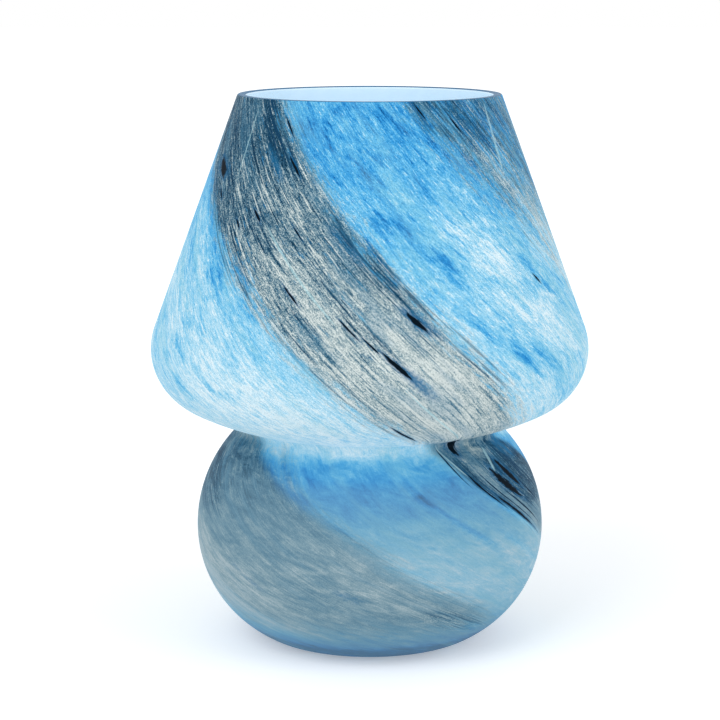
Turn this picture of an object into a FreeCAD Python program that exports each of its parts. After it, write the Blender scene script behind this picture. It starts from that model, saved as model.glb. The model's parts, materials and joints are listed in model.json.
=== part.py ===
import FreeCAD, Part
import math
import os

from FreeCAD import Vector

# Mushroom table lamp: one blown glass body, open at the top and pinched at the waist, with a
# lamp holder clamped in its neck. Millimetres. +Z is up, Z = 0 is the table and -Y is the front.
# Heights of the glass are measured from its ground foot, which stands on the pads.

# Glass body, outer sizes
glass_height = 237.3            # foot to rim
rim_radius = 56.5
shade_radius = 95.0             # widest circle of the shade
shade_widest_rise = 33.5        # from the waist up to the widest circle
shoulder_radius = 27.5          # round edge where the shade turns under
underside_radius = 105.0        # shallow bowl of the shade's underside
waist_radius = 55.0             # corner where underside and base would meet if it were sharp
waist_height = 94.3
waist_fillet = 2.5
base_radius = 75.8              # widest circle of the base
base_widest_height = 49.1
foot_arc_radius = 20.0          # round edge of the foot
foot_arc_circle = 38.36         # how far out that edge is centred
foot_grind = 0.3                # ground off the foot to make it flat
punt_radius = 26.0              # shallow hollow under the foot
punt_depth = 2.0
glass_wall = 3.8
floor_thickness = 4.8
rim_round = 0.9

# Cord hole at the back of the base, square to the glass, and its rubber grommet
cord_hole_radius = 6.5
cord_hole_drop = 22.0           # degrees below the horizontal
grommet_flange_width = 3.0
grommet_flange_thickness = 1.8
lead_bore_radius = 3.6

# Foot pads
pad_count = 4
pad_radius = 5.0
pad_height = 1.2
pad_circle_radius = 34.0

# Three-armed spider that stands on the glass above the waist
plate_thickness = 2.0
spider_arm_count = 3
spider_arm_width = 14.0
spider_hub_radius = 21.0
spider_ledge_overlap = 10.0     # how far the arms reach past the neck
spider_corner_radius = 5.0
arm_slot_length = 20.0
arm_slot_width = 5.0

# Clamp bar that is drawn up against the glass below the waist
clamp_bar_width = 16.0
clamp_overlap = 3.5             # how far the bar reaches past the neck, at each end

# Silicone boots on the ends of the arms and of the bar
boot_wall = 2.0
boot_grip = 11.0                # length of metal inside a boot
boot_round = 1.4

# Threaded tube M10 x 1 and what is on it; threads are drawn as plain cylinders
tube_radius = 5.0
tube_bore_radius = 3.9
tube_tail = 3.0                 # sticks out under the lower nut
thread_clearance = 0.05
washer_radius = 10.0
washer_thickness = 1.0
lock_washer_radius = 8.5
lock_washer_thickness = 1.2
lock_washer_teeth = 10
nut_across_flats = 14.0
nut_thickness = 3.5

# Lamp holder for an E26 bulb
holder_radius = 19.5
holder_wall = 2.0
collar_radius = 9.0
collar_height = 7.0
grub_radius = 1.5
grub_length = 3.8
grub_socket_radius = 0.8
block_flange_thickness = 3.0
block_rim_width = 1.0           # the cap's wall beside the block's flange
block_boss_radius = 15.0
block_boss_height = 2.0
fit_gap = 0.1                   # small clearance between pieces that slip together
terminal_length = 6.0
terminal_width = 5.0
terminal_height = 5.5
terminal_offset = 9.0
terminal_screw_radius = 1.6
terminal_screw_head = 1.5
shell_height = 23.5
shell_wall = 0.8                # beyond the groove of the thread
shell_floor = 0.8
shell_floor_bore = 8.5
skirt_height = 27.5
skirt_lip = 2.0
skirt_mouth_radius = 15.2
leaf_half_span = 7.0
leaf_rise = 2.4
leaf_thickness = 0.5
leaf_width = 5.0

# E26 screw thread with a round profile
thread_pitch = 3.629
thread_crest_radius = 13.0      # outer radius on the bulb's cap
thread_root_radius = 12.1
thread_bead_radius = 1.2
thread_gap = 0.25
thread_turns = 4.5

# Bulb: opal globe of 45 mm
tip_gap = 0.2
tip_radius = 4.6
tip_height = 1.8
insulator_height = 3.6
insulator_radius = 10.6
cap_height = 21.5
cap_wall = 0.7                  # under the thread's root
housing_neck_wall = 1.5
housing_neck_depth = 13.0
housing_foot_radius = 13.9
housing_height = 17.0
housing_wall = 1.6
globe_radius = 22.5
globe_wall = 1.2
globe_seat_radius = 18.6
led_board_thickness = 1.5
led_board_rim = 2.4             # housing wall beside the board
led_board_inset = 2.5           # below the housing's top
led_ledge_width = 2.5
led_count = 8
led_length = 3.5
led_width = 2.8
led_height = 0.8
led_circle_radius = 9.5
driver_board_thickness = 1.2
driver_board_gap = 0.3
capacitor_radius = 3.2
capacitor_length = 9.0
transformer_depth = 5.0
transformer_width = 8.0
transformer_height = 7.0

# Level of the glass foot
foot_level = pad_height


def point(radius, height):
    """A point of a profile that is turned about Z."""
    return Vector(radius, 0, height)


def circles_meet(centre_a, radius_a, centre_b, radius_b):
    """Both points of the profile plane that lie on two circles, the one further left first."""
    line = centre_b - centre_a
    span = line.Length
    along = (span ** 2 + radius_a ** 2 - radius_b ** 2) / (2 * span)
    across = math.sqrt(radius_a ** 2 - along ** 2)
    line.normalize()
    normal = Vector(-line.z, 0, line.x)
    middle = centre_a + line * along
    return sorted((middle + normal * across, middle - normal * across), key=lambda p: p.x)


def on_circle(centre, radius, angle):
    return centre + Vector(math.cos(angle), 0, math.sin(angle)) * radius


def arc(centre, radius, start, end):
    """Arc of a profile from one angle to another, in radians."""
    points = [on_circle(centre, radius, a) for a in (start, (start + end) / 2, end)]
    return Part.Arc(*points).toShape()


def direction(start, end):
    return math.atan2(end.z - start.z, end.x - start.x)


def turned(edges):
    """Solid of a closed profile turned once about Z."""
    return Part.Face(Part.Wire(edges)).revolve(Vector(0, 0, 0), Vector(0, 0, 1), 360)


def turned_outline(points):
    """Solid of a closed outline of straight lines, as radius and height pairs, turned about Z."""
    corners = [point(*p) for p in points]
    return turned(Part.makePolygon(corners + corners[:1]).Edges)


def disc(radius, bottom, height, bore=0.0):
    body = Part.makeCylinder(radius, height, Vector(0, 0, bottom))
    if bore > 0:
        body = body.cut(Part.makeCylinder(bore, height, Vector(0, 0, bottom)))
    return body


def block(x_range, y_range, z_range):
    """Box between low and high values along each axis."""
    size = [high - low for low, high in (x_range, y_range, z_range)]
    return Part.makeBox(*size, Vector(x_range[0], y_range[0], z_range[0]))


def turn(shape, degrees):
    """Copy of a shape turned about Z."""
    copy = shape.copy()
    copy.rotate(Vector(0, 0, 0), Vector(0, 0, 1), degrees)
    return copy


def ring_of(shape, count, first=0.0):
    return [turn(shape, first + 360 * k / count) for k in range(count)]


# Centres of the glass's arcs. Outer and inner surface share them, a wall apart.
waist_corner = point(waist_radius, foot_level + waist_height)
shoulder_centre = point(shade_radius - shoulder_radius, waist_corner.z + shade_widest_rise)
underside_centre = max(
    circles_meet(shoulder_centre, underside_radius - shoulder_radius, waist_corner, underside_radius),
    key=lambda p: p.z,
)
waist_inset = base_radius - waist_radius
waist_rise = waist_height - base_widest_height
base_upper_radius = (waist_inset ** 2 + waist_rise ** 2) / (2 * waist_inset)
base_level = foot_level + base_widest_height
base_centre = point(base_radius - base_upper_radius, base_level)
waist_centre = circles_meet(
    underside_centre, underside_radius + waist_fillet, base_centre, base_upper_radius + waist_fillet
)[1]
foot_centre = point(foot_arc_circle, foot_level + foot_arc_radius - foot_grind)
foot_inset = base_radius - foot_arc_circle
foot_drop = base_level - foot_centre.z
base_lower_radius = (
    (foot_inset ** 2 + foot_drop ** 2 - foot_arc_radius ** 2) / (2 * (foot_inset - foot_arc_radius))
)
lower_centre = point(base_radius - base_lower_radius, base_level)
rim_level = foot_level + glass_height


def slant_angle():
    """Direction of the shade's outward normal: the straight flank from rim to shoulder arc."""
    to_rim = point(rim_radius, rim_level) - shoulder_centre
    return math.atan2(to_rim.z, to_rim.x) - math.acos(shoulder_radius / to_rim.Length)


def glass_solid(inset):
    """Solid inside the glass's surface, moved inwards by inset, before its foot is made flat."""
    slant = slant_angle()
    rise = rim_level - shoulder_centre.z
    flank = shoulder_radius - inset - rise * math.sin(slant)
    rim_point = point(shoulder_centre.x + flank / math.cos(slant), rim_level)
    to_underside = direction(underside_centre, shoulder_centre)
    to_waist = direction(underside_centre, waist_centre)
    to_base = direction(base_centre, waist_centre)
    to_foot = direction(lower_centre, foot_centre)
    shoulder = arc(shoulder_centre, shoulder_radius - inset, slant, to_underside)
    underside = arc(underside_centre, underside_radius - inset, to_underside, to_waist)
    waist = arc(waist_centre, waist_fillet + inset, to_waist + math.pi, to_base + math.pi)
    upper = arc(base_centre, base_upper_radius - inset, to_base, 0)
    lower = arc(lower_centre, base_lower_radius - inset, 0, to_foot)
    foot = arc(foot_centre, foot_arc_radius - inset, to_foot, -math.pi / 2)
    bottom = foot_centre.z - foot_arc_radius + inset
    ends = [point(foot_centre.x, bottom), point(0, bottom), point(0, rim_level), rim_point]
    lines = [Part.makeLine(a, b) for a, b in zip(ends, ends[1:])]
    flank_line = Part.makeLine(rim_point, on_circle(shoulder_centre, shoulder_radius - inset, slant))
    return turned([flank_line, shoulder, underside, waist, upper, lower, foot] + lines)


def below(level):
    """Everything under a level, as a solid to cut with."""
    return disc(shade_radius, level - glass_height, glass_height)


def neck_bore_radius():
    return waist_centre.x - waist_fillet - glass_wall


def ledge_level(radius):
    """Height of the glass under a point inside the shade, just outside the neck."""
    reach = underside_radius - glass_wall
    return underside_centre.z - math.sqrt(reach ** 2 - (radius - underside_centre.x) ** 2)


def ceiling_level(radius):
    """Height of the glass over a point inside the base, just outside the neck."""
    reach = base_upper_radius - glass_wall
    return base_centre.z + math.sqrt(reach ** 2 - (radius - base_centre.x) ** 2)


def cord_hole_axis():
    """Start and direction of the cord hole's axis, which is square to the glass."""
    drop = math.radians(cord_hole_drop)
    return Vector(0, lower_centre.x, lower_centre.z), Vector(0, math.cos(drop), -math.sin(drop))


def along_hole(radius, start, end):
    """Cylinder on the cord hole's axis between two distances from the arc's centre."""
    origin, axis = cord_hole_axis()
    return Part.makeCylinder(radius, end - start, origin + axis * start, axis)


def make_glass_body():
    outer = glass_solid(0).cut(below(foot_level))
    cavity = glass_solid(glass_wall).cut(below(foot_level + floor_thickness))
    glass = outer.cut(cavity)
    punt_sphere = (punt_radius ** 2 + punt_depth ** 2) / (2 * punt_depth)
    punt_centre = Vector(0, 0, foot_level + punt_depth - punt_sphere)
    glass = glass.cut(Part.makeSphere(punt_sphere, punt_centre))
    glass = glass.cut(along_hole(cord_hole_radius, base_lower_radius - 3 * glass_wall,
                                 base_lower_radius + glass_wall))
    rim_edges = [e for e in glass.Edges if abs(e.BoundBox.ZMin - rim_level) < 1e-6]
    return glass.makeFillet(min(rim_round, 0.3 * glass_wall), rim_edges)


def make_cord_grommet(glass):
    """Rubber bush with a flange on each side of the glass, which it follows."""
    flange_radius = cord_hole_radius + grommet_flange_width
    sag = flange_radius ** 2 / base_lower_radius
    inner_face = base_lower_radius - glass_wall
    outside = along_hole(flange_radius, base_lower_radius - sag,
                         base_lower_radius + grommet_flange_thickness)
    inside = along_hole(flange_radius, inner_face - grommet_flange_thickness, inner_face)
    barrel = along_hole(cord_hole_radius, inner_face, base_lower_radius)
    bore = along_hole(lead_bore_radius, inner_face - glass_wall - grommet_flange_thickness,
                      base_lower_radius + glass_wall + grommet_flange_thickness)
    return outside.fuse([inside, barrel]).removeSplitter().cut(glass).cut(bore)


def make_foot_pads():
    pad = Part.makeCylinder(pad_radius, pad_height, Vector(pad_circle_radius, 0, 0))
    return ring_of(pad, pad_count, 45)


# Levels of the parts clamped in the neck, from the glass that they bear on
spider_reach = neck_bore_radius() + spider_ledge_overlap
spider_level = ledge_level(spider_reach + boot_wall) + boot_wall
clamp_reach = neck_bore_radius() + clamp_overlap
clamp_corner = math.hypot(clamp_reach + boot_wall, clamp_bar_width / 2 + boot_wall)
clamp_level = ceiling_level(clamp_corner) - boot_wall - plate_thickness
washer_level = spider_level + plate_thickness
upper_nut_level = washer_level + washer_thickness
holder_level = upper_nut_level + nut_thickness
lower_washer_level = clamp_level - washer_thickness
lock_washer_level = lower_washer_level - lock_washer_thickness
lower_nut_level = lock_washer_level - nut_thickness
tube_bottom = lower_nut_level - tube_tail
hole_radius = tube_radius + thread_clearance


def plate_with_arms(reach, width, angles):
    """Flat arms from the axis, before they are joined to a hub."""
    arm = block((0, reach), (-width / 2, width / 2), (0, plate_thickness))
    return [turn(arm, a) for a in angles]


def spider_angles():
    return [90 + 360 * k / spider_arm_count for k in range(spider_arm_count)]


def make_spider():
    """Pressed steel star: hub, arms with rounded inner corners, a slot in each arm."""
    hub = disc(spider_hub_radius, 0, plate_thickness)
    star = hub.fuse(plate_with_arms(spider_reach, spider_arm_width, spider_angles()))
    star = star.removeSplitter()
    corners = [e for e in star.Edges if is_inner_corner(e)]
    star = star.makeFillet(spider_corner_radius, corners)
    slot_middle = (spider_hub_radius + spider_reach - boot_grip) / 2
    slot = rounded_slot(slot_middle, arm_slot_length, arm_slot_width, plate_thickness)
    star = star.cut([turn(slot, a) for a in spider_angles()])
    star = star.cut(disc(hole_radius, 0, plate_thickness))
    star.translate(Vector(0, 0, spider_level))
    return star


def is_inner_corner(edge):
    """Upright edge where an arm leaves the hub."""
    middle = edge.BoundBox.Center
    upright = edge.BoundBox.ZLength > 0.9 * plate_thickness
    at_hub = abs(math.hypot(middle.x, middle.y) - spider_hub_radius) < 0.01
    return upright and at_hub


def rounded_slot(middle, length, width, height):
    """Slot with round ends, along X."""
    straight = (length - width) / 2
    body = block((middle - straight, middle + straight), (-width / 2, width / 2), (0, height))
    ends = [Part.makeCylinder(width / 2, height, Vector(middle + s * straight, 0, 0)) for s in (-1, 1)]
    return body.fuse(ends).removeSplitter()


def boot_block(reach, width, bottom, top):
    """Rounded block over the end of an arm that lies along X."""
    inner = reach - boot_grip
    half = width / 2 + boot_wall
    body = block((inner, reach + boot_wall), (-half, half), (bottom, top))
    return body.makeFillet(boot_round, body.Edges)


def make_spider_boots(glass, spider):
    """Boots that wrap the arm ends and follow the glass under them."""
    bottom = ledge_level(spider_reach - boot_grip) - 2 * boot_round
    top = spider_level + plate_thickness + boot_wall
    boot = boot_block(spider_reach, spider_arm_width, bottom, top)
    return [largest(turn(boot, a).cut([glass, spider])) for a in spider_angles()]


def make_clamp_bar():
    bar = block((-clamp_reach, clamp_reach), (-clamp_bar_width / 2, clamp_bar_width / 2),
                (clamp_level, clamp_level + plate_thickness))
    upright = [e for e in bar.Edges if e.BoundBox.ZLength > 0.9 * plate_thickness]
    bar = bar.makeFillet(clamp_bar_width / 4, upright)
    return bar.cut(disc(hole_radius, clamp_level, plate_thickness))


def make_clamp_boots(glass, bar):
    """Boots on the bar's ends, drawn up against the glass."""
    top = ceiling_level(clamp_reach) + 2 * boot_round
    boot = boot_block(clamp_reach, clamp_bar_width, clamp_level - boot_wall, top)
    return [largest(turn(boot, a).cut([glass, bar])) for a in (0, 180)]


def largest(shape):
    """The main solid of a cut, without what is left beyond the glass."""
    return max(shape.Solids, key=lambda s: s.Volume)


def make_threaded_tube():
    top = holder_level + collar_height
    return disc(tube_radius, tube_bottom, top - tube_bottom, tube_bore_radius)


def make_nut(level):
    corner = nut_across_flats / math.sqrt(3)
    corners = [Vector(corner * math.cos(math.radians(a)), corner * math.sin(math.radians(a)), level)
               for a in range(0, 361, 60)]
    prism = Part.Face(Part.makePolygon(corners)).extrude(Vector(0, 0, nut_thickness))
    chamfer = corner - nut_across_flats / 2
    waist = turned_outline([(0, level), (corner - chamfer / 2, level), (corner, level + chamfer / 2),
                            (corner, level + nut_thickness - chamfer / 2),
                            (corner - chamfer / 2, level + nut_thickness),
                            (0, level + nut_thickness)])
    return prism.common(waist).cut(disc(hole_radius, level, nut_thickness))


def make_lock_washer():
    """Washer with outward teeth."""
    root = (lock_washer_radius + hole_radius) / 2
    ring = disc(root, lock_washer_level, lock_washer_thickness, hole_radius)
    tooth_width = math.pi * lock_washer_radius / lock_washer_teeth
    tooth = block(((root + hole_radius) / 2, lock_washer_radius), (-tooth_width / 2, tooth_width / 2),
                  (lock_washer_level, lock_washer_level + lock_washer_thickness))
    return ring.fuse(ring_of(tooth, lock_washer_teeth)).removeSplitter()


# Levels inside the lamp holder
dome_radius = holder_radius - collar_radius
cap_ledge = holder_level + collar_height + dome_radius
cap_top = cap_ledge + block_flange_thickness
block_top = cap_top + block_boss_height
shell_top = block_top + shell_height
flange_bore = holder_radius - block_rim_width


def make_holder_cap():
    """Domed lower half of the holder, with a threaded collar and a counterbore for the block."""
    centre = point(collar_radius, cap_ledge)
    inner_dome = dome_radius - holder_wall
    outer = arc(centre, dome_radius, -math.pi / 2, 0)
    inner = arc(centre, inner_dome, 0, -math.pi / 2)
    collar_top = cap_ledge - inner_dome
    ends = [[point(hole_radius, holder_level), point(collar_radius, holder_level),
             point(collar_radius, cap_ledge - dome_radius)],
            [point(holder_radius, cap_ledge), point(holder_radius, cap_top),
             point(flange_bore, cap_top), point(flange_bore, cap_ledge),
             point(collar_radius + inner_dome, cap_ledge)],
            [point(collar_radius, collar_top), point(hole_radius, collar_top),
             point(hole_radius, holder_level)]]
    lines = [Part.makeLine(a, b) for run in ends for a, b in zip(run, run[1:])]
    edges = Part.sortEdges(lines + [outer, inner])[0]
    return turned(edges).cut(grub_hole())


def grub_hole():
    level = holder_level + collar_height / 2
    return Part.makeCylinder(grub_radius + thread_clearance, collar_radius, Vector(0, 0, level),
                             Vector(0, 1, 0))


def make_grub_screw():
    """Socket screw that keeps the holder from turning on the tube."""
    level = holder_level + collar_height / 2
    start = Vector(0, tube_radius + thread_clearance, level)
    screw = Part.makeCylinder(grub_radius, grub_length, start, Vector(0, 1, 0))
    socket_depth = grub_length / 2
    socket = Part.makeCylinder(grub_socket_radius, socket_depth,
                               start + Vector(0, grub_length - socket_depth, 0), Vector(0, 1, 0))
    return screw.cut(socket)


def make_contact_block():
    """Ceramic disc that carries the screw shell, the leaf and the terminals."""
    flange = disc(flange_bore - fit_gap, cap_ledge, block_flange_thickness)
    boss = disc(block_boss_radius, cap_top, block_boss_height)
    return flange.fuse(boss).removeSplitter()


def terminal_seats():
    return [Vector(side * terminal_offset, 0, cap_ledge) for side in (-1, 1)]


def make_terminals():
    """Two brass blocks under the ceramic, each bored for its screw."""
    parts = []
    for seat in terminal_seats():
        body = block((seat.x - terminal_width / 2, seat.x + terminal_width / 2),
                     (-terminal_length / 2, terminal_length / 2),
                     (seat.z - terminal_height, seat.z))
        screw_way = Part.makeCylinder(terminal_screw_radius + thread_clearance, terminal_height,
                                      seat - Vector(0, 0, terminal_height))
        parts.append(body.cut(screw_way))
    return parts


def make_terminal_screws():
    """Two cheese-head screws, slotted, driven from below."""
    parts = []
    head_radius = terminal_width / 2
    for seat in terminal_seats():
        under = seat - Vector(0, 0, terminal_height)
        shank = Part.makeCylinder(terminal_screw_radius, terminal_height - fit_gap, under)
        head = Part.makeCylinder(head_radius, terminal_screw_head,
                                 under - Vector(0, 0, terminal_screw_head))
        slot = block((seat.x - head_radius, seat.x + head_radius), (-0.3, 0.3),
                     (under.z - terminal_screw_head, under.z - terminal_screw_head / 2))
        parts.append(shank.fuse(head).removeSplitter().cut(slot))
    return parts


def make_contact_leaf():
    """Arched bronze leaf, both ends on the ceramic, that the bulb's tip meets."""
    arch = (leaf_half_span ** 2 + leaf_rise ** 2) / (2 * leaf_rise)
    centre = Vector(0, -leaf_width / 2, block_top + leaf_rise - arch)
    outer = Part.makeCylinder(arch, leaf_width, centre, Vector(0, 1, 0))
    inner = Part.makeCylinder(arch - leaf_thickness, leaf_width, centre, Vector(0, 1, 0))
    room = block((-arch, arch), (-leaf_width, leaf_width), (block_top, block_top + 2 * leaf_rise))
    return outer.cut(inner).common(room)


def thread_bead(bead_radius, low, high):
    """Round bead on the thread's helix, from one level to another, in step with the bulb's cap."""
    centre_radius = thread_crest_radius - thread_bead_radius
    helix = Part.makeLongHelix(thread_pitch, high - low, centre_radius)
    section = Part.Wire(Part.makeCircle(bead_radius, Vector(centre_radius, 0, 0), Vector(0, 1, 0)))
    bead = Part.Wire(helix).makePipeShell([section], True, True)
    bead = turn(bead, 360 * (low - ridge_bottom) / thread_pitch)
    bead.translate(Vector(0, 0, low))
    return bead


# Levels of the bulb, from the leaf that its tip meets
tip_level = block_top + leaf_rise + tip_gap
insulator_level = tip_level + tip_height
cap_level = insulator_level + insulator_height
cap_end = cap_level + cap_height
ridge_length = thread_turns * thread_pitch
ridge_bottom = cap_level + (cap_height - ridge_length) / 2
cap_bore = thread_root_radius - cap_wall
housing_top = cap_end + housing_height
globe_centre = housing_top + math.sqrt(globe_radius ** 2 - globe_seat_radius ** 2)
led_board_level = housing_top - led_board_inset - led_board_thickness
led_board_radius = globe_seat_radius - led_board_rim


def make_screw_shell():
    """Brass shell of the holder, with the thread pressed into it as a groove."""
    groove_reach = thread_crest_radius + thread_gap
    land_radius = thread_root_radius + thread_gap
    outer = disc(groove_reach + shell_wall, block_top, shell_height)
    bore = disc(land_radius, block_top + shell_floor, shell_height)
    floor_bore = disc(shell_floor_bore, block_top, shell_height)
    groove = thread_bead(thread_bead_radius + thread_gap, ridge_bottom - thread_pitch / 4,
                         shell_top + thread_pitch)
    return outer.cut([bore, floor_bore]).cut(groove)


def make_holder_skirt():
    """Tube around the screw shell, with a lip at its mouth."""
    skirt = disc(holder_radius, cap_top, skirt_height, holder_radius - holder_wall)
    mouth_level = cap_top + skirt_height - skirt_lip
    lip = disc(holder_radius, mouth_level, skirt_lip, skirt_mouth_radius)
    return skirt.fuse(lip).removeSplitter()


def make_bulb_tip():
    """Contact at the bottom of the bulb: a low dome on a button."""
    half = tip_height / 2
    sphere = (tip_radius ** 2 + half ** 2) / (2 * half)
    dome = Part.makeSphere(sphere, Vector(0, 0, tip_level + sphere))
    button = disc(tip_radius, tip_level, tip_height)
    return button.common(dome)


def make_bulb_insulator():
    """Black glass cone between tip and cap."""
    return Part.makeCone(tip_radius + 1, insulator_radius, insulator_height,
                         Vector(0, 0, insulator_level))


def make_bulb_cap():
    """Threaded metal cap, open at the top for the housing's neck."""
    body = disc(thread_root_radius, cap_level, cap_height)
    ridge = thread_bead(thread_bead_radius, ridge_bottom, ridge_bottom + ridge_length)
    bore = disc(cap_bore, cap_level + cap_wall, cap_height)
    return body.fuse(ridge).cut(bore)


def make_bulb_housing():
    """White plastic housing: a flared bell with a neck that goes down into the cap."""
    neck_radius = cap_bore - fit_gap
    neck_bottom = cap_end - housing_neck_depth
    bore = neck_radius - housing_neck_wall
    seat = led_board_radius + fit_gap
    ledge = seat - led_ledge_width
    flare_low = point(housing_foot_radius, cap_end + housing_wall)
    flare_high = point(globe_seat_radius, housing_top)
    flare_mid = (flare_low + flare_high) / 2 + Vector(-0.8, 0, 0.6)
    flare = Part.Arc(flare_low, flare_mid, flare_high).toShape()
    inside = [flare_high, point(seat, housing_top), point(seat, led_board_level),
              point(ledge, led_board_level), point(ledge, led_board_level - housing_wall),
              point(bore, cap_end + housing_wall), point(bore, neck_bottom),
              point(neck_radius, neck_bottom), point(neck_radius, cap_end),
              point(housing_foot_radius, cap_end), flare_low]
    lines = [Part.makeLine(a, b) for a, b in zip(inside, inside[1:])]
    return turned([flare] + lines)


def make_bulb_globe():
    """Opal globe, open where it stands on the housing."""
    shell = Part.makeSphere(globe_radius, Vector(0, 0, globe_centre))
    shell = shell.cut(Part.makeSphere(globe_radius - globe_wall, Vector(0, 0, globe_centre)))
    return shell.cut(below(housing_top))


def make_led_board():
    return disc(led_board_radius, led_board_level, led_board_thickness)


def make_led_chips():
    level = led_board_level + led_board_thickness
    chip = block((led_circle_radius - led_length / 2, led_circle_radius + led_length / 2),
                 (-led_width / 2, led_width / 2), (level, level + led_height))
    return ring_of(chip, led_count)


def driver_board_range():
    """Bottom and top of the upright board in the housing's neck."""
    return cap_end - housing_neck_depth, led_board_level - driver_board_gap


def make_driver_board():
    bore = cap_bore - fit_gap - housing_neck_wall
    half = math.sqrt((bore - driver_board_gap) ** 2 - (driver_board_thickness / 2) ** 2)
    return block((-half, half), (-driver_board_thickness / 2, driver_board_thickness / 2),
                 driver_board_range())


def make_driver_parts():
    """Capacitor and transformer, one on each face of the board."""
    bottom, top = driver_board_range()
    face = driver_board_thickness / 2
    level = (bottom + top) / 2
    capacitor = Part.makeCylinder(capacitor_radius, capacitor_length,
                                  Vector(0, face + capacitor_radius, level - capacitor_length))
    transformer = block((-transformer_width / 2, transformer_width / 2),
                        (-face - transformer_depth, -face), (level, level + transformer_height))
    return [capacitor, transformer]


def build():
    """Every piece by name."""
    glass = make_glass_body()
    spider = make_spider()
    bar = make_clamp_bar()
    pieces = {
        "glass_body": glass,
        "cord_grommet": make_cord_grommet(glass),
        "spider": spider,
        "clamp_bar": bar,
        "threaded_tube": make_threaded_tube(),
        "washer_upper": disc(washer_radius, washer_level, washer_thickness, hole_radius),
        "nut_upper": make_nut(upper_nut_level),
        "washer_lower": disc(washer_radius, lower_washer_level, washer_thickness, hole_radius),
        "lock_washer": make_lock_washer(),
        "nut_lower": make_nut(lower_nut_level),
        "holder_cap": make_holder_cap(),
        "holder_grub_screw": make_grub_screw(),
        "holder_contact_block": make_contact_block(),
        "holder_terminals": Part.makeCompound(make_terminals()),
        "holder_terminal_screws": Part.makeCompound(make_terminal_screws()),
        "holder_contact_leaf": make_contact_leaf(),
        "holder_screw_shell": make_screw_shell(),
        "holder_skirt": make_holder_skirt(),
        "bulb_tip_contact": make_bulb_tip(),
        "bulb_insulator": make_bulb_insulator(),
        "bulb_cap": make_bulb_cap(),
        "bulb_housing": make_bulb_housing(),
        "bulb_globe": make_bulb_globe(),
        "bulb_led_board": make_led_board(),
        "bulb_led_chips": Part.makeCompound(make_led_chips()),
        "bulb_driver_board": make_driver_board(),
        "bulb_driver_parts": Part.makeCompound(make_driver_parts()),
    }
    groups = {
        "foot_pad": make_foot_pads(),
        "spider_boot": make_spider_boots(glass, spider),
        "clamp_boot": make_clamp_boots(glass, bar),
    }
    for name, shapes in groups.items():
        for number, shape in enumerate(shapes, 1):
            pieces[f"{name}_{number}"] = shape
    return pieces


os.makedirs("parts", exist_ok=True)
for name, shape in build().items():
    shape.exportStep(f"parts/{name}.step")
    print(f"{name}: {len(shape.Solids)} solid, {shape.Volume / 1000:.2f} cm3")
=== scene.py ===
import json
import math

import bpy
import numpy as np
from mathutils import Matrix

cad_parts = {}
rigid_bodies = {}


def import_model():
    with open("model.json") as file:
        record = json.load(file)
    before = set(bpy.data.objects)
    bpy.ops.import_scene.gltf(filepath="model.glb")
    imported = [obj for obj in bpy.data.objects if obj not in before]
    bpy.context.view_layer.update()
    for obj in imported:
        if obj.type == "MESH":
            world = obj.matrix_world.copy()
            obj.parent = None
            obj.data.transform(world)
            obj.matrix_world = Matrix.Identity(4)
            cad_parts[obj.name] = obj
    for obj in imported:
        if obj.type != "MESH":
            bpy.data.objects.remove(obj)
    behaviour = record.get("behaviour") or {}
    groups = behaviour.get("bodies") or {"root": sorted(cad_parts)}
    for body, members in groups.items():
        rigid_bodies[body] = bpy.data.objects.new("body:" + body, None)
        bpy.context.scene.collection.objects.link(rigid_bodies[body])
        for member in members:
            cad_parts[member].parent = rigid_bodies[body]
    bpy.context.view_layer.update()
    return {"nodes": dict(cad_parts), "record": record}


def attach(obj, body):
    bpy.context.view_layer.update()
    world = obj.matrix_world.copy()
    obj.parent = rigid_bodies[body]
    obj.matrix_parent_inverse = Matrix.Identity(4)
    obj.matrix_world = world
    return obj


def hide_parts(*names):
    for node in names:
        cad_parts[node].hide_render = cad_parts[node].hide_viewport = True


# Swirled glass mushroom lamp: one blown glass body, lit from inside by a bulb on a clamped holder.
# Everything is in metres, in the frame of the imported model. +Z is up and -Y is the front.

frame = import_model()
print("frame loaded:", len(frame["nodes"]), "nodes")


# Colours and shader nodes

def linearColour(code):
    # sRGB hex code to linear RGBA: below 0.04045 a straight line, above it a power of 2.4
    parts = np.array([int(code[i:i + 2], 16) for i in (1, 3, 5)]) / 255
    linear = np.where(parts <= 0.04045, parts / 12.92, ((parts + 0.055) / 1.055) ** 2.4)
    return (*[float(v) for v in linear], 1.0)


def addNode(tree, kind, values=(), output=0, **settings):
    # one shader node with its settings. Values go to its inputs in order, or by name or number from a
    # dict: a socket is linked, anything else is set. Returns one output, or all of them for None
    node = tree.nodes.new("ShaderNode" + kind)
    for key, value in settings.items():
        setattr(node, key, value)
    for key, value in (values.items() if isinstance(values, dict) else enumerate(values)):
        if isinstance(value, bpy.types.NodeSocket):
            tree.links.new(value, node.inputs[key])
        else:
            node.inputs[key].default_value = value
    return node.outputs if output is None else node.outputs[output]


def layOver(tree, colour, layers):
    # colour with each layer's hex code mixed in by that layer's share, the last one on top
    for share, code in layers:
        colour = addNode(tree, "Mix", {0: share, 6: colour, 7: linearColour(code)}, 2, data_type="RGBA")
    return colour


def newMaterial(name):
    material = bpy.data.materials.new(name)
    material.use_nodes = True
    tree = material.node_tree
    shader = tree.nodes["Principled BSDF"]
    return material, tree, shader


# Glass shape, in metres, with the hole's drop in degrees

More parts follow.
